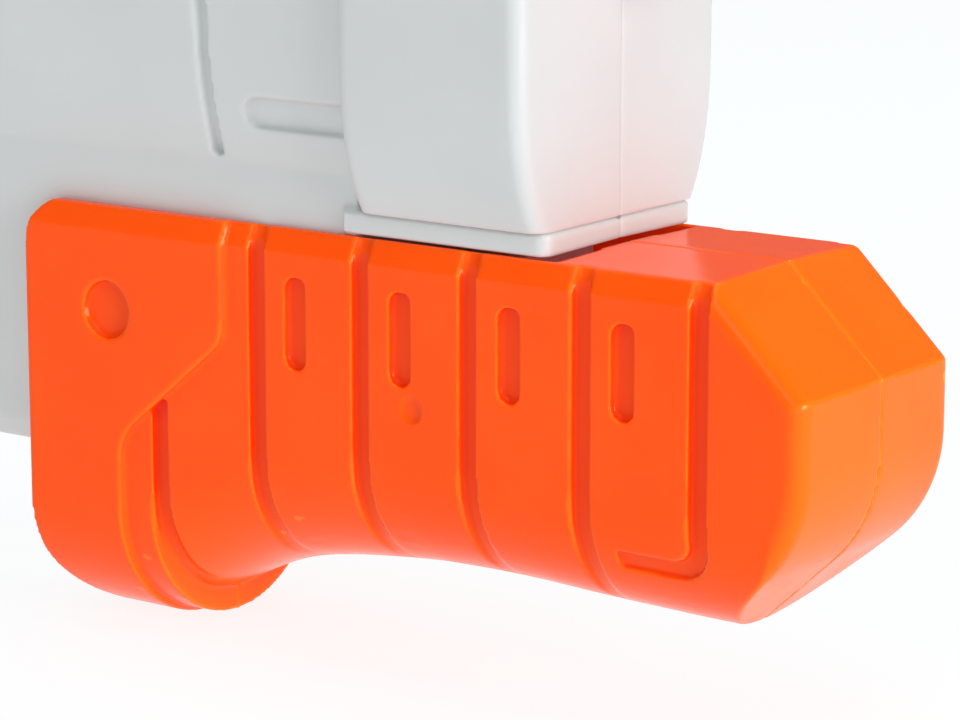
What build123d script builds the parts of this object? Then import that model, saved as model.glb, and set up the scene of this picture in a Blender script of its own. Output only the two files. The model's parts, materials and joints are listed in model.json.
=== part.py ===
from build123d import *
import math
import os

os.makedirs("parts", exist_ok=True)

# A pump-action toy water blaster. +X is forward, +Y is its left side and +Z is up.
# The origin lies on the ground, under the middle of its length and width. Millimetres.
# Pumping the fore-grip drives air into the tank, and the trigger opens the water valve.

# ---- driving dimensions ----
overall_length = 444.2
nose_x = overall_length / 2
rear_x = -overall_length / 2
pump_z = 65.0  # height of the pump's axis
wall = 2.4  # moulded wall of the shells
running = 0.06  # radial clearance of a sliding or turning fit

grip_length = 174.1
grip_rear = nose_x - grip_length
grip_half_width = 25.5
grip_top = 19.2  # every grip height is measured from the pump's axis
draft = 1.2  # degrees by which the grip's faces fall away from the seam
stop_depth = 64.0  # of the hand stop at the grip's rear
panel_proud = 1.3  # the rear panel stands out from the ribs by this much
groove_depth = 1.6
groove_width = 3.6
groove_pitch = 24.12
first_groove = grip_rear + 30.5
slot_first = grip_rear + 65.6
slot_height = 17.2
slot_width = 4.8
slot_depth = 1.5
slot_pitch = 24.0
dimple_at = (20.5, -1.0)  # X from the grip's rear, Z from the pump's axis
dimple_radius = 5.55
dimple_depth = 1.5
mark_at = (92.1, -11.2)
mark_radius = 2.4
mark_depth = 0.5
plate_start = 121.5  # from the grip's rear to the closed plate over its nose
bay_half_width = 22.4  # inside of the grip
bay_curve = 17.0  # height of the half ellipse under the bay
edge_radius = 3.4  # soft edges between the grip's sides and its nose

rail_half_width = 22.0  # of the rail, and of the body's sides under the ledge
rail_bottom = 34.3
rail_taper = (1.6, 4.2)  # width and height of the bevel along the rail's foot
rail_rear = -10.0
web_front = 125.5
tongue_front = 147.5
tongue_top = 79.0
ledge_z = 95.2  # where the body's sides start to flare
foot_gap = 0.25  # between the grip's crowned top and the foot plate
foot_half_width = 23.4
foot_top = 88.3
foot_front = 168.1  # the body's foot plate, under the front shroud
foot_corner = 2.5
body_top = 162.0
groove_x = 92.2  # upright groove round the body
body_mark_depth = 1.3
body_slot_at = (121.5, 104.4)
body_slot = (39.2, 6.0)  # length and height
saddle_z = 130.0  # the tank sits here
stock_rear = rear_x + 5.0

shroud_rear = 127.4
shroud_front = 168.0
shroud_half_width = 31.4
shroud_edge = 3.0  # rounding of its upright front edges
shroud_top = 166.0
barrel_z = 143.0  # height of the nozzle's axis
barrel_radius = 4.0
nozzle_stem_radius = 9.0
nozzle_bore = 1.2

cylinder_rear = 60.0
cylinder_front = 121.5
cylinder_radius = 12.0
cylinder_bore = 10.0
rod_radius = 3.5
rod_head_radius = 7.0
piston_front = 116.5
piston_length = 9.0

valve_z = 110.0  # axis of the water valve and its stem
valve_rear = -44.0
valve_front = -8.0
stem_radius = 2.5
air_port = (38.0, 9.0)  # X and Y of the air tube
feed_port = (-24.0, 0.0)  # X and Y of the water feed tube
tube_radius = 3.5
tube_bore = 2.0

trigger_pin_at = (-54.0, 96.0)  # X and Z
trigger_half_width = 4.0
trigger_pin_radius = 2.0

tank_rear = -148.0
tank_front = 58.0
tank_bottom = saddle_z + 0.4
tank_top = 190.0
tank_half_width = 30.0
neck_x = -104.0
neck_top = 200.0
neck_radius = 14.0
neck_bore = 11.5
cap_radius = 18.0

screw_radius = 1.5
screw_head_radius = 3.2
screw_head_height = 2.4
screw_column = 4.4
housing_screw_at = [
    (14, 100), (14, 44), (100, 44), (106, 104), (106, 154), (-96, 104),
    (-122, 22), (-114, 62), (-204, 82), (-200, 134),
]
housing_seat = 11.0
shroud_screw_at = [(150, 156), (150, 100)]
shroud_seat = 14.0
grip_screw_at = [
    (grip_rear + 15, pump_z - 49), (grip_rear + 98, pump_z - 36.8),
    (grip_rear + 162, pump_z - 20), (grip_rear + 162, pump_z + 6),
]
grip_seat = 9.5
strap_eye_at = (-196.0, 66.0)
strap_eye_radius = 4.0

# Depth of the grip's underside below the pump's axis, at even steps from its rear.
underside_start = 24.0
underside_step = 12.0
underside = [61.5, 56.1, 50.8, 47.7, 46.1, 45.0, 44.6, 44.7, 45.2, 45.6, 45.9, 46.0, 46.0, 46.0]


# ---- shared shapes ----
def grip_section(x, half_width, depth, curve, top):
    """A face across the grip at x: upright sides over half an ellipse."""
    spring_z = pump_z - depth + curve
    with BuildSketch(Plane.YZ.offset(x)) as section:
        with BuildLine():
            EllipticalCenterArc((0, spring_z), half_width, curve, start_angle=180, arc_size=180)
            Polyline(
                (half_width, spring_z), (half_width, pump_z + top),
                (-half_width, pump_z + top), (-half_width, spring_z),
            )
        make_face()
    return section.sketch


def grip_form(half_width, extra_depth, top, curve=23.0):
    """The grip's long waisted form, without its hand stop."""
    with BuildPart() as form:
        for index, depth in enumerate(underside):
            x = grip_rear + underside_start + index * underside_step
            add(grip_section(x, half_width, depth + extra_depth, curve, top))
        loft()
    return form.part


def hand_stop(half_width, depth, front, top):
    """The deep lobe at the grip's rear, from its rear face to front."""
    with BuildPart() as lobe:
        face = grip_section(grip_rear, half_width, depth, 26, top)
        extrude(face, amount=front - grip_rear, dir=(1, 0, 0))
    return lobe.part


def crowned(start, end, half_width, shoulder, radius):
    """A deep bar under the line from start to end, in X and Z, which crosses the seam.

    Its upper face falls away to both sides by the draft. The shoulder lists how far in from
    the side and how far down each corner lies, and every corner is rounded.
    """
    run = Vector(end[0] - start[0], 0, end[1] - start[1])
    fall = half_width * math.tan(math.radians(draft))
    left = [(half_width - across_by, -fall - down_by) for across_by, down_by in shoulder]
    right = [(-y, z) for y, z in reversed(left)]
    deep = -3 * pump_z
    outline = [(0, 0), *left, (half_width, deep), (-half_width, deep), *right]
    radii = [0, *[radius] * len(left), 0, 0, *[radius] * len(left)]
    with BuildPart() as crown:
        with BuildSketch(Plane((start[0], 0, start[1]), x_dir=(0, 1, 0), z_dir=run)):
            with BuildLine():
                FilletPolyline(*outline, radius=radii, close=True)
            make_face()
        extrude(amount=overall_length, both=True)
    return crown.part


def across(outline, radii, half_width):
    """A solid of an outline in X and Z, with rounded corners, across the middle plane."""
    with BuildPart() as slab:
        with BuildSketch(Plane.XZ):
            with BuildLine():
                FilletPolyline(*outline, radius=radii, close=True)
            make_face()
        extrude(amount=half_width, both=True)
    return slab.part


def columns(places, radius, half_width):
    """Upright-to-the-side columns for screws, at places in X and Z."""
    with BuildPart() as posts:
        with BuildSketch(Plane.XZ):
            with Locations(*places):
                Circle(radius)
        extrude(amount=half_width, both=True)
    return posts.part


def screw_holes(places, seat):
    """Pilot holes through the middle plane, and counterbores from the left side to the seat."""
    with BuildPart() as holes:
        with BuildSketch(Plane.XZ):
            with Locations(*places):
                Circle(screw_radius)
        extrude(amount=seat + 0.5, both=True)
        with BuildSketch(Plane.XZ.offset(-seat)):
            with Locations(*places):
                Circle(screw_head_radius + 0.4)
        extrude(amount=-40)
    return holes.part


def screws(places, seat):
    """Pan-head screws, driven from the left side, one solid each."""
    with BuildPart() as group:
        with BuildSketch(Plane.XZ.offset(-seat)):
            with Locations(*places):
                Circle(screw_head_radius)
        extrude(amount=-screw_head_height)
        with BuildSketch(Plane.XZ.offset(-seat)):
            with Locations(*places):
                Circle(screw_radius)
        extrude(amount=2 * seat)
        with BuildSketch(Plane.XZ.offset(-seat - screw_head_height)):
            with Locations(*places):
                Rectangle(2 * screw_radius, 0.7)
                Rectangle(0.7, 2 * screw_radius)
        extrude(amount=1.2, mode=Mode.SUBTRACT)
    return group.part


def bar(x, z, radius, length):
    """A round bar along X, from x, at height z over the middle plane."""
    with BuildPart() as round_bar:
        with BuildSketch(Plane.YZ.offset(x)):
            with Locations((0, z)):
                Circle(radius)
        extrude(amount=length)
    return round_bar.part


def tube(x, z, outer, inner, length):
    """A round tube along X, from x, at height z over the middle plane."""
    with BuildPart() as round_tube:
        add(bar(x, z, outer, length))
        add(bar(x, z, inner, length), mode=Mode.SUBTRACT)
    return round_tube.part


def post(place, z, radius, height):
    """A round bar along Z, from z, at a place in X and Y."""
    with BuildPart() as upright:
        with BuildSketch(Plane.XY.offset(z)):
            with Locations(place):
                Circle(radius)
        extrude(amount=height)
    return upright.part


# ---- pump grip ----
def from_grip(*points):
    """Points given from the grip's rear and the pump's axis, in the object's frame."""
    return [(grip_rear + x, pump_z + z) for x, z in points]


rear_outline = from_grip((0, grip_top + 0.05), (200, grip_top + 0.05), (200, -66), (0, -66))
chamfer_line = from_grip((155, grip_top), (grip_length, 0.5))
lower_nose = from_grip(
    (-20, 60), (grip_length, 60), (grip_length, -24.5), (140, -56.2), (140, -90), (-20, -90)
)
panel_outline = from_grip(
    (-5, 30), (49, 30), (49, -3.8), (23.3, -25.2), (23.3, -75), (-5, -75)
)
hook_outline = from_grip(
    (151.2, 25), (154.8, 25), (154.8, -34.2), (135.5, -34.2), (135.5, -30.6), (151.2, -30.6)
)
nose_wall_outline = from_grip(
    (plate_start, 60), (plate_start, grip_top - wall), (153.6, grip_top - wall), (171.7, -0.9),
    (171.7, -23.5), (151, -42.6), (151, -70), (190, -70), (190, 60)
)
rib_shoulder = [(1.8, 0.0), (-0.9, 6.0)]
core_shoulder = [(1.0, 0.0), (0.0, 2.3)]
above = grip_top + 5  # forms run up past the top, and are cut by its crown

with BuildPart() as grip_core:
    # What is left under the grooves.
    add(grip_form(grip_half_width - groove_depth, 0.3, above))
    add(crowned(*from_grip((0, grip_top), (100, grip_top)), grip_half_width - groove_depth,
                core_shoulder, 0.4), mode=Mode.INTERSECT)

with BuildPart() as grooves:
    with BuildSketch(Plane.XY.offset(pump_z - 80)):
        for index in range(5):
            with Locations((first_groove + index * groove_pitch + groove_width / 2, 0)):
                Rectangle(groove_width, 80)
    extrude(amount=120)
    add(across(hook_outline, (0, 0, 7.2, 0, 0, 3.6), 40))
    add(grip_core.part, mode=Mode.SUBTRACT)

with BuildPart() as panel:
    # A raised panel over the hand stop, cut away in a step towards the ribs.
    add(hand_stop(grip_half_width + panel_proud, stop_depth + 1, grip_rear + 60, above))
    add(across(panel_outline, (0, 0, 6.5, 10, 0, 0), 40), mode=Mode.INTERSECT)
    add(grip_form(grip_half_width - 4, -4, above + 5), mode=Mode.SUBTRACT)
    add(crowned(*from_grip((0, grip_top), (100, grip_top)), grip_half_width + panel_proud,
                rib_shoulder, 0.8), mode=Mode.INTERSECT)

with BuildPart() as soft_nose:
    # The upright front and the slope under it, with soft edges to the sides.
    with BuildSketch(Plane.XZ):
        with BuildLine():
            FilletPolyline(*lower_nose, radius=(0, 0, 28, 0, 0, 0), close=True)
        make_face()
    extrude(amount=grip_half_width, taper=draft)
    side_face = soft_nose.faces().sort_by(Axis.Y)[0]
    fillet(side_face.edges().filter_by_position(Axis.X, grip_rear + 141, nose_x + 1)
           .sort_by(Axis.Z)[:-1], edge_radius)
    mirror(about=Plane.XZ)

with BuildPart() as grip_solid:
    add(grip_form(grip_half_width, 0, above))
    add(hand_stop(grip_half_width, stop_depth, grip_rear + 30.1, above))
    add(grooves.part, mode=Mode.SUBTRACT)
    add(crowned(*from_grip((0, grip_top), (100, grip_top)), grip_half_width,
                rib_shoulder, 0.8), mode=Mode.INTERSECT)
    add(crowned(*chamfer_line, grip_half_width, [(0, 0)], edge_radius), mode=Mode.INTERSECT)
    add(soft_nose.part, mode=Mode.INTERSECT)
    add(panel.part)
    add(across(rear_outline, (9, 0, 0, 18), 40), mode=Mode.INTERSECT)

with BuildPart() as grip_bay:
    # The hollow inside: the rail's bay, the hand stop's pocket and the nose.
    add(grip_form(bay_half_width, -wall, above, bay_curve))
    with BuildSketch(Plane.YZ.offset(grip_rear - 1)):
        with Locations((0, pump_z - 5.25)):
            Rectangle(2 * bay_half_width, 52)
    extrude(amount=60)
    add(hand_stop(bay_half_width, stop_depth + 1 - wall, grip_rear + 27, -20))
    add(across(from_grip((wall, 40), (wall, -61.5), (170, -61.5), (170, 40)), (0, 16, 0, 0), 40),
        mode=Mode.INTERSECT)
    with BuildSketch(Plane.YZ.offset(grip_rear - 1)):
        with Locations((0, pump_z - 5.25)):
            Rectangle(2 * bay_half_width, 52)
    extrude(amount=10)
    # The nose keeps a wall behind each of its slopes.
    add(across(nose_wall_outline, (0,) * len(nose_wall_outline), 40), mode=Mode.SUBTRACT)

with BuildPart() as rod_clamp:
    # Two bulkheads in the nose hold the head of the piston rod between them.
    for bulkhead in (145.0, 153.0):
        with BuildSketch(Plane.YZ.offset(grip_rear + bulkhead)):
            with Locations((0, pump_z - 10)):
                Rectangle(2 * grip_half_width - 3, 80)
        extrude(amount=3)
    add(bar(grip_rear + 140, pump_z, rod_radius + 0.02, 20), mode=Mode.SUBTRACT)
    add(grip_bay.part, mode=Mode.INTERSECT)

with BuildPart() as grip_marks:
    # Four upright slots on each side, a small ejector mark and the panel's dimple.
    slot_places = [(slot_first + index * slot_pitch, pump_z + 1.4) for index in range(4)]
    with BuildSketch(Plane.XZ):
        with Locations(*slot_places):
            SlotOverall(slot_height, slot_width, rotation=90)
    extrude(amount=30, both=True)
    add(columns(slot_places, slot_height, grip_half_width - slot_depth), mode=Mode.SUBTRACT)

with BuildPart() as grip_dimples:
    for place, radius, floor in (
        (dimple_at, dimple_radius, grip_half_width + panel_proud - dimple_depth),
        (mark_at, mark_radius, grip_half_width - mark_depth),
    ):
        spots = from_grip(place)
        add(columns(spots, radius, 30))
        add(columns(spots, radius + 1, floor), mode=Mode.SUBTRACT)

with BuildPart() as grip_walls:
    add(grip_solid.part)
    add(grip_bay.part, mode=Mode.SUBTRACT)
    add(grip_marks.part, mode=Mode.SUBTRACT)
    add(grip_dimples.part, mode=Mode.SUBTRACT)

with BuildPart() as grip_shell:
    add(columns(grip_screw_at, screw_column, 40))
    add(grip_solid.part, mode=Mode.INTERSECT)
    add(grip_walls.part)
    add(rod_clamp.part)
    add(screw_holes(grip_screw_at, grip_seat), mode=Mode.SUBTRACT)

for side, keep in (("left", Keep.BOTTOM), ("right", Keep.TOP)):
    with BuildPart() as pump_grip:
        add(grip_shell.part)
        split(bisect_by=Plane.XZ, keep=keep)
    pump_grip.part.label = f"pump_grip_{side}"
    export_step(pump_grip.part, f"parts/pump_grip_{side}.step")

grip_fasteners = screws(grip_screw_at, grip_seat)
grip_fasteners.label = "grip_screws"
export_step(grip_fasteners, "parts/grip_screws.step")


# ---- body ----
def upper_body(inset):
    """The body above the ledge: a flared, round-topped section cut to the side outline."""
    outline = [
        (135 - inset, 80), (135 - inset, body_top - inset), (62 + inset, body_top - inset),
        (60 + inset, saddle_z - inset), (-150 - inset, saddle_z - inset),
        (-160 - inset, 158 - inset), (stock_rear + inset, 146 - inset), (stock_rear + inset, 80),
    ]
    with BuildPart() as form:
        with BuildSketch(Plane.YZ.offset(stock_rear - 1)):
            with BuildLine():
                flare = Spline(
                    (22.5 - inset, ledge_z + inset), (24.1 - inset, 100.8), (25.6 - inset, 107),
                    (27.0 - inset, 118), (27.6 - inset, 132),
                )
                Line(flare @ 1, (27.6 - inset, 146))
                RadiusArc((27.6 - inset, 146), (12, body_top - inset), -21)
                Line((12, body_top - inset), (0, body_top - inset))
                Line((0, ledge_z + inset), flare @ 0)
                mirror(about=Plane.YZ)
            make_face()
        extrude(amount=overall_length)
        add(across(outline, (0, 6, 10, 3, 3, 10, 8, 0), 60), mode=Mode.INTERSECT)
    return form.part


def lower_body(inset):
    """The rail, the web over it, the pistol grip and the stock, under the ledge."""
    with BuildPart() as form:
        with BuildSketch(Plane.YZ.offset(rail_rear + inset)):
            with BuildLine():
                Polyline(
                    (0, 100), (rail_half_width - inset, 100),
                    (rail_half_width - inset, rail_bottom + rail_taper[1]),
                    (rail_half_width - rail_taper[0] - inset, rail_bottom + inset),
                    (0, rail_bottom + inset),
                )
                mirror(about=Plane.YZ)
            make_face()
        extrude(amount=tongue_front - rail_rear - 2 * inset)
        with BuildSketch(Plane.XZ):
            with Locations((web_front - inset + 30, tongue_top - inset + 30)):
                Rectangle(60, 60)
        extrude(amount=60, both=True, mode=Mode.SUBTRACT)
        add(across(stock_outline(inset), (0, 6, 10, 10, 4, 0), rail_half_width - inset))
        with BuildSketch(Plane.XY.offset(inset)):
            with Locations((-126, 0)):
                RectangleRounded(46 - 2 * inset, 36 - 2 * inset, 13 - inset)
        with BuildSketch(Plane.XY.offset(92)):
            with Locations((-111, 0)):
                RectangleRounded(44 - 2 * inset, 36 - 2 * inset, 13 - inset)
        loft()
    return form.part


def stock_outline(inset):
    """Side outline of the body behind the rail, under the ledge, with its stock."""
    return [
        (rail_rear + 10, 100), (rail_rear + 10, 84 + inset), (-136, 84 + inset),
        (-203 + inset, 50 + inset), (stock_rear + inset, 50 + inset), (stock_rear + inset, 100),
    ]


def foot_plate():
    """The plate over the grip's top, in front of the web, which carries the front shroud."""
    start = web_front - wall
    with BuildPart() as plate:
        with BuildSketch(Plane.XY.offset(pump_z)):
            with Locations((foot_front - 50, 0)):
                RectangleRounded(100, 2 * foot_half_width, foot_corner)
            with Locations((start - 50, 0)):
                Rectangle(100, 100, mode=Mode.SUBTRACT)
        extrude(amount=foot_top - pump_z)
        top_line = from_grip((0, grip_top + foot_gap), (100, grip_top + foot_gap))
        add(crowned(*top_line, grip_half_width + 5, [(0, 0)], 0), mode=Mode.SUBTRACT)
    return plate.part


guard_outline = [(6, 36), (-15, 12), (-116, 12), (-116, 90), (6, 90)]
gap_outline = [(-9, 38), (-19, 17), (-96, 17), (-96, 90), (-22, 90)]

with BuildPart() as guard:
    # The trigger guard, a strap from the rail to the pistol grip.
    add(across(guard_outline, (4, 14, 0, 0, 0), 7))
    add(across(gap_outline, (4, 10, 0, 0, 4), 10), mode=Mode.SUBTRACT)

with BuildPart() as body_outside:
    add(upper_body(0))
    add(lower_body(0))
    add(guard.part)
    add(foot_plate())

with BuildPart() as body_hollow:
    add(upper_body(wall))
    add(lower_body(wall))
    add(foot_plate(), mode=Mode.SUBTRACT)

with BuildPart() as body_walls:
    add(body_outside.part)
    add(body_hollow.part, mode=Mode.SUBTRACT)

with BuildPart() as body_cradles:
    # Ribs that hold the pump cylinder, the water valve and the trigger's pin.
    for x in (66, 112):
        with BuildSketch(Plane.YZ.offset(x)):
            with Locations((0, 66)):
                Rectangle(60, 58)
        extrude(amount=3)
    for x in (valve_rear + 3, valve_front - 6):
        with BuildSketch(Plane.YZ.offset(x)):
            with Locations((0, 100)):
                Rectangle(60, 26)
        extrude(amount=3)
    add(body_outside.part, mode=Mode.INTERSECT)

with BuildPart() as pin_bosses:
    with BuildSketch(Plane.XZ):
        with Locations(trigger_pin_at):
            Circle(4.5)
    extrude(amount=20.5, both=True)
    with BuildSketch(Plane.XZ):
        with Locations(trigger_pin_at):
            Circle(5)
    extrude(amount=trigger_half_width + 0.6, both=True, mode=Mode.SUBTRACT)

with BuildPart() as body_openings:
    # The rod's and the barrel's ways out, the tank's ports, the trigger's slot and the strap eye.
    add(bar(110, pump_z, rod_radius + 0.7, 60))
    add(bar(120, barrel_z, barrel_radius, 30))
    for port in (air_port, feed_port):
        add(post(port, saddle_z - 5, 6, 10))
    add(across([(-76, 80), (-76, 90), (-47, 90), (-47, 80)], (0,) * 4, trigger_half_width + 0.8))
    with BuildSketch(Plane.XZ):
        with Locations(strap_eye_at):
            Circle(strap_eye_radius)
        with Locations(trigger_pin_at):
            Circle(trigger_pin_radius)
    extrude(amount=18, both=True)
    with BuildSketch(Plane.XZ):
        with Locations(strap_eye_at):
            Circle(strap_eye_radius)
    extrude(amount=30, both=True)

with BuildPart() as body_marks:
    # A curved upright groove and a long level slot on each side.
    with BuildSketch(Plane.YZ.offset(groove_x)):
        with Locations((0, ledge_z + 32.7)):
            Rectangle(80, 65)
    extrude(amount=2.6)
    with BuildSketch(Plane.XZ):
        with Locations(body_slot_at):
            SlotOverall(*body_slot)
    extrude(amount=40, both=True)
    add(upper_body(body_mark_depth), mode=Mode.SUBTRACT)

with BuildPart() as body_shell:
    add(columns(housing_screw_at, screw_column, 40))
    add(columns([strap_eye_at], 8, 40))
    add(body_outside.part, mode=Mode.INTERSECT)
    add(body_walls.part)
    add(body_cradles.part)
    add(pin_bosses.part)
    add(body_marks.part, mode=Mode.SUBTRACT)
    add(body_openings.part, mode=Mode.SUBTRACT)
    add(bar(40, pump_z, cylinder_radius, 84.5), mode=Mode.SUBTRACT)
    with BuildSketch(Plane.YZ.offset(valve_rear)):
        with Locations((0, valve_z)):
            Rectangle(22, 20)
    extrude(amount=valve_front - valve_rear, mode=Mode.SUBTRACT)
    add(screw_holes(housing_screw_at, housing_seat), mode=Mode.SUBTRACT)

for side, keep in (("left", Keep.BOTTOM), ("right", Keep.TOP)):
    with BuildPart() as housing:
        add(body_shell.part)
        split(bisect_by=Plane.XZ, keep=keep)
    housing.part.label = f"housing_{side}"
    export_step(housing.part, f"parts/housing_{side}.step")

body_fasteners = screws(housing_screw_at, housing_seat)
body_fasteners.label = "housing_screws"
export_step(body_fasteners, "parts/housing_screws.step")


# ---- front shroud ----
def shroud_form(inset):
    """The front block: upright ends, flared sides and a rounded top."""
    foot = foot_top + inset
    top = shroud_top - inset
    front = shroud_front - inset
    rear = shroud_rear + inset
    outline = [(rear, foot), (rear, top), (front - 8, top), (front, 156), (front, foot)]
    with BuildPart() as form:
        with BuildSketch(Plane.YZ.offset(shroud_rear - 1)):
            with BuildLine():
                flare = Spline(
                    (24.9 - inset, foot), (28.8 - inset, 97.2), (30.7 - inset, 107),
                    (31.2 - inset, 118), (shroud_half_width - inset, 130),
                )
                Line(flare @ 1, (shroud_half_width - inset, 142))
                RadiusArc((shroud_half_width - inset, 142), (14, top), -25)
                Polyline((14, top), (0, top), (0, foot), flare @ 0)
                mirror(about=Plane.YZ)
            make_face()
        extrude(amount=60)
        add(across(outline, (0, 5, 6, 6, 0), 60), mode=Mode.INTERSECT)
        upright = form.edges().filter_by_position(Axis.X, front - 0.01, front + 0.01)
        sides = upright.filter_by(lambda edge: abs(edge.center().Y) > 20)
        fillet(sides, shroud_edge)
    return form.part


with BuildPart() as shroud_walls:
    add(shroud_form(0))
    add(shroud_form(wall), mode=Mode.SUBTRACT)

with BuildPart() as shroud_shell:
    add(columns(shroud_screw_at, screw_column, 40))
    add(shroud_form(0), mode=Mode.INTERSECT)
    add(shroud_walls.part)
    add(upper_body(-0.15), mode=Mode.SUBTRACT)
    add(bar(150, barrel_z, nozzle_stem_radius, 40), mode=Mode.SUBTRACT)
    add(screw_holes(shroud_screw_at, shroud_seat), mode=Mode.SUBTRACT)

for side, keep in (("left", Keep.BOTTOM), ("right", Keep.TOP)):
    with BuildPart() as front_shroud:
        add(shroud_shell.part)
        split(bisect_by=Plane.XZ, keep=keep)
    front_shroud.part.label = f"front_shroud_{side}"
    export_step(front_shroud.part, f"parts/front_shroud_{side}.step")

shroud_fasteners = screws(shroud_screw_at, shroud_seat)
shroud_fasteners.label = "shroud_screws"
export_step(shroud_fasteners, "parts/shroud_screws.step")


# ---- nozzle and barrel ----
with BuildPart() as nozzle:
    # Turned about the barrel: a stem in the shroud, a tapered tip and a stepped bore.
    with BuildSketch(Plane.XZ):
        with BuildLine():
            Polyline(
                (160, barrel_z + 4.0), (160, barrel_z + nozzle_stem_radius),
                (shroud_front + 4, barrel_z + nozzle_stem_radius), (shroud_front + 4, barrel_z + 11),
                (shroud_front + 14, barrel_z + 11), (shroud_front + 26, barrel_z + 8),
                (shroud_front + 26, barrel_z + nozzle_bore), (172, barrel_z + nozzle_bore),
                (172, barrel_z + 4.0), close=True,
            )
        make_face()
    revolve(axis=Axis((0, 0, barrel_z), (1, 0, 0)))
nozzle.part.label = "nozzle"
export_step(nozzle.part, "parts/nozzle.step")

with BuildPart() as nozzle_nut:
    add(tube(shroud_front, barrel_z, 14, nozzle_stem_radius, 4))
    with BuildSketch(Plane.YZ.offset(shroud_front)):
        with Locations((0, barrel_z)):
            with PolarLocations(14.6, 12):
                Circle(1.8)
    extrude(amount=4, mode=Mode.SUBTRACT)
nozzle_nut.part.label = "nozzle_nut"
export_step(nozzle_nut.part, "parts/nozzle_nut.step")

with BuildPart() as barrel_tube:
    with BuildLine() as barrel_path:
        FilletPolyline(
            (valve_front - 4, 0, valve_z), (68, 0, valve_z), (101, 0, barrel_z), (172, 0, barrel_z),
            radius=24,
        )
    with BuildSketch(Plane(barrel_path.line @ 0, z_dir=barrel_path.line % 0)):
        Circle(barrel_radius)
        Circle(barrel_radius - 1.5, mode=Mode.SUBTRACT)
    sweep()
barrel_tube.part.label = "barrel_tube"
export_step(barrel_tube.part, "parts/barrel_tube.step")


# ---- pump ----
pump_cylinder = tube(cylinder_rear, pump_z, cylinder_radius, cylinder_bore,
                     cylinder_front - cylinder_rear)
pump_cylinder.label = "pump_cylinder"
export_step(pump_cylinder, "parts/pump_cylinder.step")

with BuildPart() as cylinder_cap:
    add(bar(cylinder_front, pump_z, cylinder_radius, 3))
    add(bar(cylinder_front - 4, pump_z, cylinder_bore, 4))
    add(bar(cylinder_front - 5, pump_z, rod_radius + running, 12), mode=Mode.SUBTRACT)
    add(bar(cylinder_front - 4, pump_z, 6.0, 3), mode=Mode.SUBTRACT)
cylinder_cap.part.label = "cylinder_cap"
export_step(cylinder_cap.part, "parts/cylinder_cap.step")

rod_seal = tube(cylinder_front - 4, pump_z, 6.0, rod_radius + running, 3)
rod_seal.label = "rod_seal"
export_step(rod_seal, "parts/rod_seal.step")

rod_front = grip_rear + 153
with BuildPart() as piston_rod:
    add(bar(piston_front - piston_length + 1, pump_z, rod_radius,
            rod_front + 4 - piston_front + piston_length))
    add(bar(rod_front - 5, pump_z, rod_head_radius, 5))
piston_rod.part.label = "piston_rod"
export_step(piston_rod.part, "parts/piston_rod.step")

with BuildPart() as piston:
    add(bar(piston_front - piston_length, pump_z, cylinder_bore - 0.3, piston_length))
    add(tube(piston_front - 6, pump_z, cylinder_bore, 8.2, 3), mode=Mode.SUBTRACT)
    add(bar(piston_front - piston_length + 1, pump_z, rod_radius, 12), mode=Mode.SUBTRACT)
piston.part.label = "piston"
export_step(piston.part, "parts/piston.step")

piston_ring = tube(piston_front - 6, pump_z, cylinder_bore - running, 8.2, 3)
piston_ring.label = "piston_ring"
export_step(piston_ring, "parts/piston_ring.step")

with BuildPart() as valve_block:
    # The pump's rear manifold: an air intake at its rear and a port up to the tank.
    with BuildSketch(Plane.YZ.offset(30)):
        with Locations((0, pump_z)):
            RectangleRounded(28, 26, 5)
    extrude(amount=cylinder_rear - 30)
    add(bar(cylinder_rear, pump_z, cylinder_bore, 2))
    add(bar(33, pump_z, 2.5, 40), mode=Mode.SUBTRACT)
    add(bar(30, pump_z, 6, 3), mode=Mode.SUBTRACT)
    with BuildSketch(Plane.XZ.offset(-air_port[1])):
        with Locations((air_port[0], pump_z)):
            Circle(2)
    extrude(amount=air_port[1], mode=Mode.SUBTRACT)
    add(post(air_port, pump_z, 2, 20), mode=Mode.SUBTRACT)
    add(post(air_port, pump_z + 7, 4.2, 2.5), mode=Mode.SUBTRACT)
    add(post(air_port, pump_z + 9.5, tube_radius, 10), mode=Mode.SUBTRACT)
valve_block.part.label = "valve_block"
export_step(valve_block.part, "parts/valve_block.step")

with BuildPart() as inlet_valve:
    add(tube(31.4, pump_z, 5.4, 1.0, 1.2))
inlet_valve.part.label = "inlet_valve"
export_step(inlet_valve.part, "parts/inlet_valve.step")

with BuildPart() as outlet_valve:
    add(post(air_port, pump_z + 7.4, 3.8, 1.2))
    add(post(air_port, pump_z + 7.4, 0.8, 1.2), mode=Mode.SUBTRACT)
outlet_valve.part.label = "outlet_valve"
export_step(outlet_valve.part, "parts/outlet_valve.step")

with BuildPart() as air_tube:
    add(post(air_port, pump_z + 9.5, tube_radius, tank_bottom + 5 - pump_z - 9.5))
    add(post(air_port, pump_z + 9.5, tube_bore, 90), mode=Mode.SUBTRACT)
air_tube.part.label = "air_tube"
export_step(air_tube.part, "parts/air_tube.step")


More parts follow.
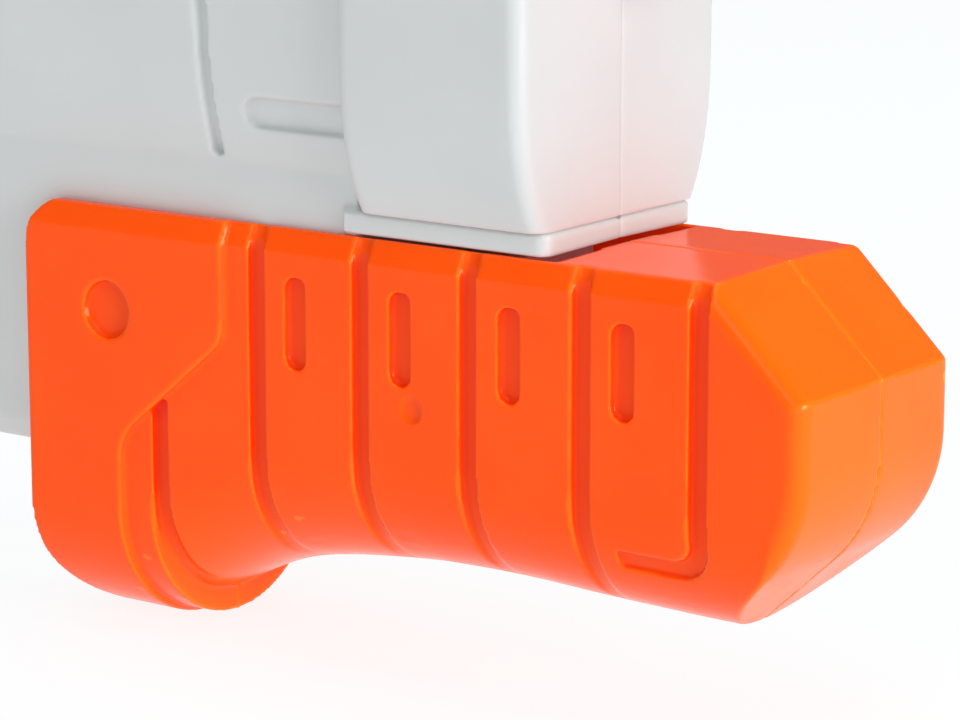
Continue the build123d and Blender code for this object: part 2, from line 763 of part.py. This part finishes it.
# ---- water valve and trigger ----
valve_length = valve_front - valve_rear
chamber_start = valve_rear + 16
with BuildPart() as firing_valve_body:
    with BuildSketch(Plane.YZ.offset(valve_rear)):
        with Locations((0, valve_z)):
            Rectangle(22, 20)
    extrude(amount=valve_length)
    add(bar(valve_rear, valve_z, stem_radius + running, 20), mode=Mode.SUBTRACT)
    add(bar(chamber_start, valve_z, 6, valve_length - 20), mode=Mode.SUBTRACT)
    add(bar(valve_front - 4, valve_z, barrel_radius, 4), mode=Mode.SUBTRACT)
    add(post(feed_port, valve_z, 2, 8), mode=Mode.SUBTRACT)
    add(post(feed_port, valve_z + 7, tube_radius, 5), mode=Mode.SUBTRACT)
firing_valve_body.part.label = "firing_valve_body"
export_step(firing_valve_body.part, "parts/firing_valve_body.step")

with BuildPart() as valve_stem:
    add(bar(valve_rear - 6, valve_z, stem_radius, chamber_start - valve_rear + 8.5))
    add(bar(chamber_start + 2, valve_z, 5, 2.5))
valve_stem.part.label = "valve_stem"
export_step(valve_stem.part, "parts/valve_stem.step")

stem_seal = tube(chamber_start + 0.2, valve_z, 4.8, stem_radius, 1.8)
stem_seal.label = "stem_seal"
export_step(stem_seal, "parts/stem_seal.step")

spring_start = chamber_start + 4.5
spring_wire = 0.45
with BuildPart() as valve_spring:
    with BuildLine() as coil:
        Helix(
            pitch=2.2, height=valve_front - 4 - spring_start - 2 * spring_wire - 0.1, radius=4.6,
            center=(spring_start + spring_wire + 0.05, 0, valve_z), direction=(1, 0, 0),
        )
    with BuildSketch(Plane(coil.line @ 0, z_dir=coil.line % 0)):
        Circle(spring_wire)
    sweep(is_frenet=True)
valve_spring.part.label = "valve_spring"
export_step(valve_spring.part, "parts/valve_spring.step")

with BuildPart() as feed_tube:
    add(post(feed_port, valve_z + 7, tube_radius, tank_bottom + 5 - valve_z - 7))
    add(post(feed_port, valve_z + 7, tube_bore, 90), mode=Mode.SUBTRACT)
feed_tube.part.label = "feed_tube"
export_step(feed_tube.part, "parts/feed_tube.step")

with BuildPart() as trigger:
    with BuildSketch(Plane.XZ):
        with BuildLine():
            Polyline((-50.4, 113), (-50.4, 92))
            Spline((-50.4, 92), (-53, 78), (-58.5, 62), (-57, 47), tangents=((0, -1), (0.4, -1)))
            Polyline((-57, 47), (-60, 44), (-64, 46))
            Spline((-64, 46), (-66.5, 62), (-64, 80), (-59, 96))
            Polyline((-59, 96), (-57.5, 113), (-50.4, 113))
        make_face()
    extrude(amount=trigger_half_width, both=True)
    with BuildSketch(Plane.XZ):
        with Locations(trigger_pin_at):
            Circle(trigger_pin_radius + running)
    extrude(amount=10, both=True, mode=Mode.SUBTRACT)
trigger.part.label = "trigger"
export_step(trigger.part, "parts/trigger.step")

with BuildPart() as trigger_pin:
    with BuildSketch(Plane.XZ):
        with Locations(trigger_pin_at):
            Circle(trigger_pin_radius)
    extrude(amount=15, both=True)
trigger_pin.part.label = "trigger_pin"
export_step(trigger_pin.part, "parts/trigger_pin.step")


# ---- tank ----
def tank_form(inset):
    """A long bottle with rounded edges, lying in the saddle."""
    with BuildPart() as form:
        with BuildSketch(Plane.XY.offset(tank_bottom + inset)):
            with Locations(((tank_rear + tank_front) / 2, 0)):
                RectangleRounded(
                    tank_front - tank_rear - 2 * inset, 2 * (tank_half_width - inset), 18 - inset
                )
        extrude(amount=tank_top - tank_bottom - 2 * inset)
        fillet(form.faces().sort_by(Axis.Z)[-1].edges(), 14 - inset)
        fillet(form.faces().sort_by(Axis.Z)[0].edges(), 7 - inset)
    return form.part


with BuildPart() as water_tank:
    add(tank_form(0))
    add(post((neck_x, 0), tank_top - 4, neck_radius, neck_top - tank_top + 4))
    add(tank_form(2.0), mode=Mode.SUBTRACT)
    add(post((neck_x, 0), tank_top - 8, neck_bore, 30), mode=Mode.SUBTRACT)
    for port in (air_port, feed_port):
        add(post(port, tank_bottom - 1, 5.5, 5), mode=Mode.SUBTRACT)
water_tank.part.label = "water_tank"
export_step(water_tank.part, "parts/water_tank.step")

with BuildPart() as tank_grommets:
    for port in (air_port, feed_port):
        add(post(port, tank_bottom, 5.5, 2))
        add(post(port, tank_bottom, tube_radius, 2), mode=Mode.SUBTRACT)
tank_grommets.part.label = "tank_grommets"
export_step(tank_grommets.part, "parts/tank_grommets.step")

cap_start = tank_top + 1
with BuildPart() as tank_cap:
    # A quarter-turn cap over the neck, with gripping flutes and a thumb bar.
    with BuildSketch(Plane.XY.offset(cap_start)):
        with Locations((neck_x, 0)):
            Circle(cap_radius)
            with PolarLocations(cap_radius + 1.2, 24):
                Circle(2, mode=Mode.SUBTRACT)
    extrude(amount=neck_top + 4.5 - cap_start)
    with BuildSketch(Plane.XY.offset(neck_top + 4.5)):
        with Locations((neck_x, 0)):
            SlotOverall(2 * cap_radius - 8, 7)
    extrude(amount=5)
    add(post((neck_x, 0), cap_start - 1, neck_radius + 0.3, neck_top + 2 - cap_start + 1),
        mode=Mode.SUBTRACT)
tank_cap.part.label = "tank_cap"
export_step(tank_cap.part, "parts/tank_cap.step")

with BuildPart() as cap_seal:
    add(post((neck_x, 0), neck_top + 0.1, neck_radius, 1.9))
    add(post((neck_x, 0), neck_top, neck_bore, 3), mode=Mode.SUBTRACT)
cap_seal.part.label = "cap_seal"
export_step(cap_seal.part, "parts/cap_seal.step")

with BuildPart() as butt_pad:
    add(across([(rear_x, 52), (rear_x, 145), (stock_rear, 145), (stock_rear, 52)], (4, 4, 0, 0), 18))
butt_pad.part.label = "butt_pad"
export_step(butt_pad.part, "parts/butt_pad.step")
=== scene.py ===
import json
import math

import bpy
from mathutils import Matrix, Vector


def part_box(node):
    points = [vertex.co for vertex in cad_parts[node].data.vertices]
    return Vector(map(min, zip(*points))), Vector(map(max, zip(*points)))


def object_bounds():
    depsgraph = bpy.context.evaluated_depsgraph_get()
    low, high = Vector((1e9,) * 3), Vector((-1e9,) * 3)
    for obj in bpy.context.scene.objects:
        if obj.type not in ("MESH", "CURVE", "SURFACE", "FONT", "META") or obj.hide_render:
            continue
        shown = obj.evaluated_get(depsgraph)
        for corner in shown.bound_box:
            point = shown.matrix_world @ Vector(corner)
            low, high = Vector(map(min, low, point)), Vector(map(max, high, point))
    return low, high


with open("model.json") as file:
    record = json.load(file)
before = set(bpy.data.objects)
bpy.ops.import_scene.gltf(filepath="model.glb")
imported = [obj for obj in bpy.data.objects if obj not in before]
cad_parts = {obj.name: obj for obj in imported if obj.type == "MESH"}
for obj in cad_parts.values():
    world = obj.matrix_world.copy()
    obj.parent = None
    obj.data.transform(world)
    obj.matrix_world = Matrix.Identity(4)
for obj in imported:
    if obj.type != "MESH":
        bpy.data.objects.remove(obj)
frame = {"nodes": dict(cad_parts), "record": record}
cad_low, cad_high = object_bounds()
nodes = frame["nodes"]

MM = 0.001

# The camera looks at a point on the right pump grip's side, from the grip's box.
CAMERA_TARGET_FORWARD = 107.5 * MM  # from the grip's rear end
CAMERA_TARGET_SIDE = -25.5 * MM
CAMERA_TARGET_DOWN = 19.2 * MM  # from the grip's top
CAMERA_AZIMUTH = 36.2
CAMERA_ELEVATION = 11.96
CAMERA_DISTANCE = 648 * MM
CAMERA_LENS = 138.1
CAMERA_SENSOR = 36

FLOOR_HALF_WIDTH = 12.0
FLOOR_DROP = 0.5 * MM  # under the part, so that the two don't share a plane
FLOOR_COLOUR = (0.14, 0.175, 0.18)  # a little cyan, against the grip's orange bounce
FLOOR_GLOW = 0.87
ROOM_STRENGTH = 0.22

# Painted shade in grooves and corners: how far the occlusion looks, and its range.
GROOVE_SHADE_REACH = 5 * MM
GROOVE_SHADE_RANGE = (0.55, 0.95)  # occlusion from full hollow to open surface, for the painted shade in grooves
EDGE_RANGE = (0.51, 0.58)  # pointiness from flat surface to sharp edge, for the painted edge highlight


# ---- camera, floor and lights ----
def look(camera, target, azimuth, elevation, distance):
    """Puts the camera at azimuth and elevation, in degrees, round a target point."""
    a = math.radians(azimuth)
    e = math.radians(elevation)
    back = Vector((math.sin(a) * math.cos(e), -math.cos(a) * math.cos(e), math.sin(e)))
    camera.rotation_mode = "QUATERNION"
    camera.location = target + back * distance
    camera.rotation_quaternion = (-back).to_track_quat("-Z", "Y")


def add_camera():
    """A long lens on the right side of the pump grip, a little above it."""
    low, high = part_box("pump_grip_right")
    target = Vector((
        low.x + CAMERA_TARGET_FORWARD, CAMERA_TARGET_SIDE, high.z - CAMERA_TARGET_DOWN,
    ))
    data = bpy.data.cameras.new("camera")
    data.sensor_width = CAMERA_SENSOR
    data.lens = CAMERA_LENS
    data.clip_start = 0.01
    data.clip_end = 50
    camera = bpy.data.objects.new("camera", data)
    bpy.context.scene.collection.objects.link(camera)
    look(camera, target, CAMERA_AZIMUTH, CAMERA_ELEVATION, CAMERA_DISTANCE)
    bpy.context.scene.camera = camera


def add_area(name, place, target, size, power, colour=(1, 1, 1)):
    """A square soft light at a place, aimed at a target."""
    data = bpy.data.lights.new(name, "AREA")
    data.shape = "RECTANGLE"
    data.size, data.size_y = size
    data.energy = power
    data.color = colour
    light = bpy.data.objects.new(name, data)
    bpy.context.scene.collection.objects.link(light)
    light.location = place
    light.rotation_mode = "QUATERNION"
    light.rotation_quaternion = (Vector(target) - Vector(place)).to_track_quat("-Z", "Y")
    return light


def add_floor():
    """A white sweep that glows a little, so that only a faint shadow lies on it."""
    mesh = bpy.data.meshes.new("floor")
    half = FLOOR_HALF_WIDTH
    corners = [(-half, -half, 0), (half, -half, 0), (half, half, 0), (-half, half, 0)]
    mesh.from_pydata(corners, [], [(0, 1, 2, 3)])
    floor = bpy.data.objects.new("floor", mesh)
    bpy.context.scene.collection.objects.link(floor)
    floor.location.z = cad_low.z - FLOOR_DROP
    material = bpy.data.materials.new("floor")
    material.use_nodes = True
    shader = material.node_tree.nodes["Principled BSDF"]
    shader.inputs["Base Color"].default_value = (*FLOOR_COLOUR, 1)
    shader.inputs["Roughness"].default_value = 0.9
    shader.inputs["Specular IOR Level"].default_value = 0.0
    shader.inputs["Emission Color"].default_value = (1, 1, 1, 1)
    shader.inputs["Emission Strength"].default_value = FLOOR_GLOW
    mesh.materials.append(material)


def add_studio():
    """A dim room and a bright floor, with lights at the front, both sides and the top.

    The pump grip alone gets one more, warm light at the front.
    """
    add_floor()
    world = bpy.data.worlds.new("world")
    world.use_nodes = True
    backdrop = world.node_tree.nodes["Background"]
    backdrop.inputs["Color"].default_value = (1, 1, 1, 1)
    backdrop.inputs["Strength"].default_value = ROOM_STRENGTH
    bpy.context.scene.world = world

    middle = (cad_low + cad_high) / 2
    add_area("front_light", (1.7, -0.25, 0.4), middle, (0.9, 0.9), 17)
    add_area("side_light", (0.3, -1.6, 1.5), middle, (1.2, 1.2), 10)
    add_area("far_light", (-0.2, 1.4, 2.0), middle, (1.0, 1.0), 10)
    add_area("top_light", (0.2, 0.0, 1.8), middle, (1.2, 1.2), 8)
    grip_light = add_area(
        "grip_light", (1.5, -0.2, 0.2), middle, (0.7, 0.7), 28, (0.85, 1.0, 0.4))
    warm_pieces = bpy.data.collections.new("grip_light_receivers")
    for side in ("left", "right"):
        warm_pieces.objects.link(nodes[f"pump_grip_{side}"])
    grip_light.light_linking.receiver_collection = warm_pieces

    view = bpy.context.scene.view_settings
    view.view_transform = "Standard"
    view.look = "None"
    view.exposure = 0.0


# ---- materials ----
class Graph:
    """A small helper for node materials: adds nodes and links them."""

    def __init__(self, name):
        self.material = bpy.data.materials.new(name)
        self.material.use_nodes = True
        self.tree = self.material.node_tree
        self.shader = self.tree.nodes["Principled BSDF"]

    def add(self, kind, **values):
        """A node of a kind, with attributes set by name."""
        node = self.tree.nodes.new(kind)
        for key, value in values.items():
            setattr(node, key, value)
        return node

    def link(self, source, target):
        """Joins an output socket to an input socket."""
        self.tree.links.new(source, target)

    def place(self, scale):
        """Object coordinates, scaled."""
        coordinates = self.add("ShaderNodeTexCoord")
        mapping = self.add("ShaderNodeMapping")
        mapping.inputs["Scale"].default_value = (scale, scale, scale)
        self.link(coordinates.outputs["Object"], mapping.inputs["Vector"])
        return mapping.outputs["Vector"]

    def noise(self, scale, detail=3.0, roughness=0.5):
        """A noise value between 0 and 1, with features about 1 / scale metres wide."""
        node = self.add("ShaderNodeTexNoise")
        node.inputs["Scale"].default_value = 1.0
        node.inputs["Detail"].default_value = detail
        node.inputs["Roughness"].default_value = roughness
        self.link(self.place(scale), node.inputs["Vector"])
        return node.outputs["Fac"]

    def span(self, value, low, high, start=0.0, end=1.0):
        """Maps a value from start..end to low..high."""
        node = self.add("ShaderNodeMapRange")
        node.inputs["From Min"].default_value = start
        node.inputs["From Max"].default_value = end
        node.inputs["To Min"].default_value = low
        node.inputs["To Max"].default_value = high
        self.link(value, node.inputs["Value"])
        return node.outputs["Result"]

    def mix(self, factor, first, second):
        """A colour between two, each a colour or a socket."""
        node = self.add("ShaderNodeMix", data_type="RGBA")
        self.link(factor, node.inputs["Factor"])
        for socket, colour in (("A", first), ("B", second)):
            target = [s for s in node.inputs if s.name == socket and s.type == "RGBA"][0]
            if isinstance(colour, tuple):
                target.default_value = (*colour, 1)
            else:
                self.link(colour, target)
        return [s for s in node.outputs if s.type == "RGBA"][0]

    def edges(self):
        """Near 1 on raised edges and 0 elsewhere: the mask of the painted edge highlight."""
        geometry = self.add("ShaderNodeNewGeometry")
        return self.span(geometry.outputs["Pointiness"], 0.0, 1.0, *EDGE_RANGE)

    def groove_shade_mask(self, reach):
        """Near 1 in grooves and corners narrower than about the reach, and 0 in the open: the mask
        of the painted shade in grooves.
        """
        shade = self.add("ShaderNodeAmbientOcclusion", only_local=True, samples=8)
        shade.inputs["Distance"].default_value = reach
        return self.span(shade.outputs["AO"], 1.0, 0.0, *GROOVE_SHADE_RANGE)

    def bump(self, height, distance, strength=1.0):
        """Raises the surface by a height value times a distance."""
        node = self.add("ShaderNodeBump")
        node.inputs["Distance"].default_value = distance
        node.inputs["Strength"].default_value = strength
        self.link(height, node.inputs["Height"])
        self.link(node.outputs["Normal"], self.shader.inputs["Normal"])


def moulded(name, colour, deep, edge_highlight, gloss, grain=0.000004, scatter=0.0, radius=(1, 0.3, 0.1),
             painted_glow=0.0, level=0.5, groove_shade=None):
    """Moulded plastic: cloudy colour, a painted highlight on raised edges, uneven gloss and a
    soft, uneven skin.

    Given a shade colour for the grooves, grooves and narrow corners turn towards it: painted
    shade, standing in for the deeper colour that light caught in the plastic gives there.
    """
    graph = Graph(name)
    cloud = graph.noise(38, detail=4)
    base = graph.mix(graph.span(cloud, 0, 1, 0.35, 0.65), deep, colour)
    if groove_shade:
        # painted shade: grooves and narrow corners are darkened towards the shade colour
        base = graph.mix(graph.groove_shade_mask(GROOVE_SHADE_REACH), base, groove_shade)
    # painted highlight: raised edges are paled towards the highlight colour
    highlighted = graph.mix(graph.edges(), base, edge_highlight)
    graph.link(highlighted, graph.shader.inputs["Base Color"])
    smear = graph.noise(120, detail=3, roughness=0.6)
    uneven = graph.span(smear, gloss - 0.04, gloss + 0.05, 0.3, 0.7)
    graph.link(uneven, graph.shader.inputs["Roughness"])
    skin = graph.noise(420, detail=2)
    graph.bump(skin, grain, 0.5)
    graph.shader.inputs["IOR"].default_value = 1.5
    graph.shader.inputs["Specular IOR Level"].default_value = level
    if scatter:
        graph.shader.inputs["Subsurface Weight"].default_value = scatter
        graph.shader.inputs["Subsurface Radius"].default_value = radius
        graph.shader.inputs["Subsurface Scale"].default_value = 0.003
    # painted light: the plastic glows faintly red, though it is no lamp, standing in for light
    # scattered inside it
    if painted_glow:
        graph.shader.inputs["Emission Color"].default_value = (1.0, 0.02, 0.0, 1)
        graph.shader.inputs["Emission Strength"].default_value = painted_glow
    return graph.material


def frosted(name, colour, gloss):
    """Milky bottle plastic, with light scattered under its surface."""
    graph = Graph(name)
    cloud = graph.noise(30, detail=3)
    pale = tuple(min(1.0, value * 1.08) for value in colour)
    tint = graph.mix(graph.span(cloud, 0, 1, 0.35, 0.65), colour, pale)
    graph.link(tint, graph.shader.inputs["Base Color"])
    smear = graph.noise(90, detail=3)
    uneven = graph.span(smear, gloss - 0.04, gloss + 0.08, 0.3, 0.7)
    graph.link(uneven, graph.shader.inputs["Roughness"])
    graph.bump(graph.noise(260, detail=2), 0.000006, 0.5)
    graph.shader.inputs["Subsurface Weight"].default_value = 0.3
    graph.shader.inputs["Subsurface Radius"].default_value = (0.8, 0.95, 1)
    graph.shader.inputs["Subsurface Scale"].default_value = 0.004
    graph.shader.inputs["IOR"].default_value = 1.45
    return graph.material


def metal(name, colour, gloss):
    """Plated steel with fine scratches."""
    graph = Graph(name)
    scratch = graph.noise(900, detail=5, roughness=0.7)
    dull = tuple(0.8 * value for value in colour)
    base = graph.mix(graph.span(scratch, 0, 1, 0.35, 0.7), colour, dull)
    graph.link(base, graph.shader.inputs["Base Color"])
    graph.shader.inputs["Metallic"].default_value = 1.0
    uneven = graph.span(scratch, gloss - 0.08, gloss + 0.12, 0.3, 0.7)
    graph.link(uneven, graph.shader.inputs["Roughness"])
    graph.bump(scratch, 0.00001, 0.4)
    return graph.material


def make_materials():
    """One material for each material slot of the record."""
    return {
        # In each moulded call below, the third colour is a painted highlight for raised edges.
        "white_shell": moulded(
            "white_shell", (0.695, 0.72, 0.722), (0.675, 0.70, 0.702), (0.77, 0.79, 0.79), 0.34,
            # the shade colour paints darker grey shade into the grooves
            scatter=0.12, radius=(1, 0.95, 0.9), groove_shade=(0.49, 0.52, 0.52)),
        "orange_shell": moulded(
            "orange_shell", (0.98, 0.092, 0.003), (0.96, 0.084, 0.002), (1.0, 0.17, 0.008), 0.20,
            # a faint red painted glow, and a deeper red shade colour painted into the grooves
            scatter=0.15, painted_glow=0.09, level=0.15, groove_shade=(0.80, 0.022, 0.001)),
        "soft_orange": moulded(
            "soft_orange", (0.9, 0.10, 0.012), (0.8, 0.085, 0.01), (0.95, 0.16, 0.03), 0.6,
            grain=0.00006),
        "tank_plastic": frosted("tank_plastic", (0.72, 0.83, 0.90), 0.28),
        "steel": metal("steel", (0.62, 0.62, 0.64), 0.3),
        "black_plastic": moulded(
            "black_plastic", (0.03, 0.03, 0.033), (0.022, 0.022, 0.024), (0.07, 0.07, 0.07), 0.45),
        "rod_plastic": moulded(
            "rod_plastic", (0.72, 0.72, 0.69), (0.66, 0.66, 0.63), (0.8, 0.8, 0.78), 0.35),
        "clear_grey": moulded(
            "clear_grey", (0.5, 0.53, 0.55), (0.45, 0.48, 0.5), (0.6, 0.62, 0.64), 0.3),
        "seal_rubber": moulded(
            "seal_rubber", (0.02, 0.02, 0.02), (0.014, 0.014, 0.014), (0.05, 0.05, 0.05), 0.65),
        "hose": moulded(
            "hose", (0.6, 0.65, 0.68), (0.55, 0.6, 0.63), (0.7, 0.73, 0.75), 0.3),
    }


def paint_nodes(materials):
    """Gives every CAD node the material of its slot."""
    for row in frame["record"]["subparts"]:
        mesh = nodes[row["node"]].data
        mesh.materials.clear()
        mesh.materials.append(materials[row["material_slot"]])


# ---- moulded shapes ----
def soften(name, voxel, smooth, keep=1.0):
    """Rounds a CAD node's edges as a mould would: a fine remesh, then smoothing.

    Keeps a share of the triangles, so that no piece has too many.
    """
    node = nodes[name]
    remesh = node.modifiers.new("remesh", "REMESH")
    remesh.mode = "VOXEL"
    remesh.voxel_size = voxel
    remesh.use_smooth_shade = True
    relax = node.modifiers.new("relax", "SMOOTH")
    relax.factor = 0.5
    relax.iterations = smooth
    if keep < 1:
        thin = node.modifiers.new("thin", "DECIMATE")
        thin.ratio = keep


def soften_shells():
    """Rounds the moulded pieces that show."""
    for side in ("left", "right"):
        soften(f"pump_grip_{side}", 0.5 * MM, 3, keep=0.45)
        soften(f"front_shroud_{side}", 0.55 * MM, 2, keep=0.8)
        soften(f"housing_{side}", 0.65 * MM, 1, keep=0.2)
    soften("water_tank", 0.9 * MM, 4, keep=0.5)
    soften("trigger", 0.4 * MM, 4)
    soften("nozzle", 0.4 * MM, 3)
    soften("nozzle_nut", 0.35 * MM, 3)
    soften("tank_cap", 0.4 * MM, 3)
    soften("butt_pad", 0.7 * MM, 4)


add_camera()
add_studio()
paint_nodes(make_materials())
soften_shells()
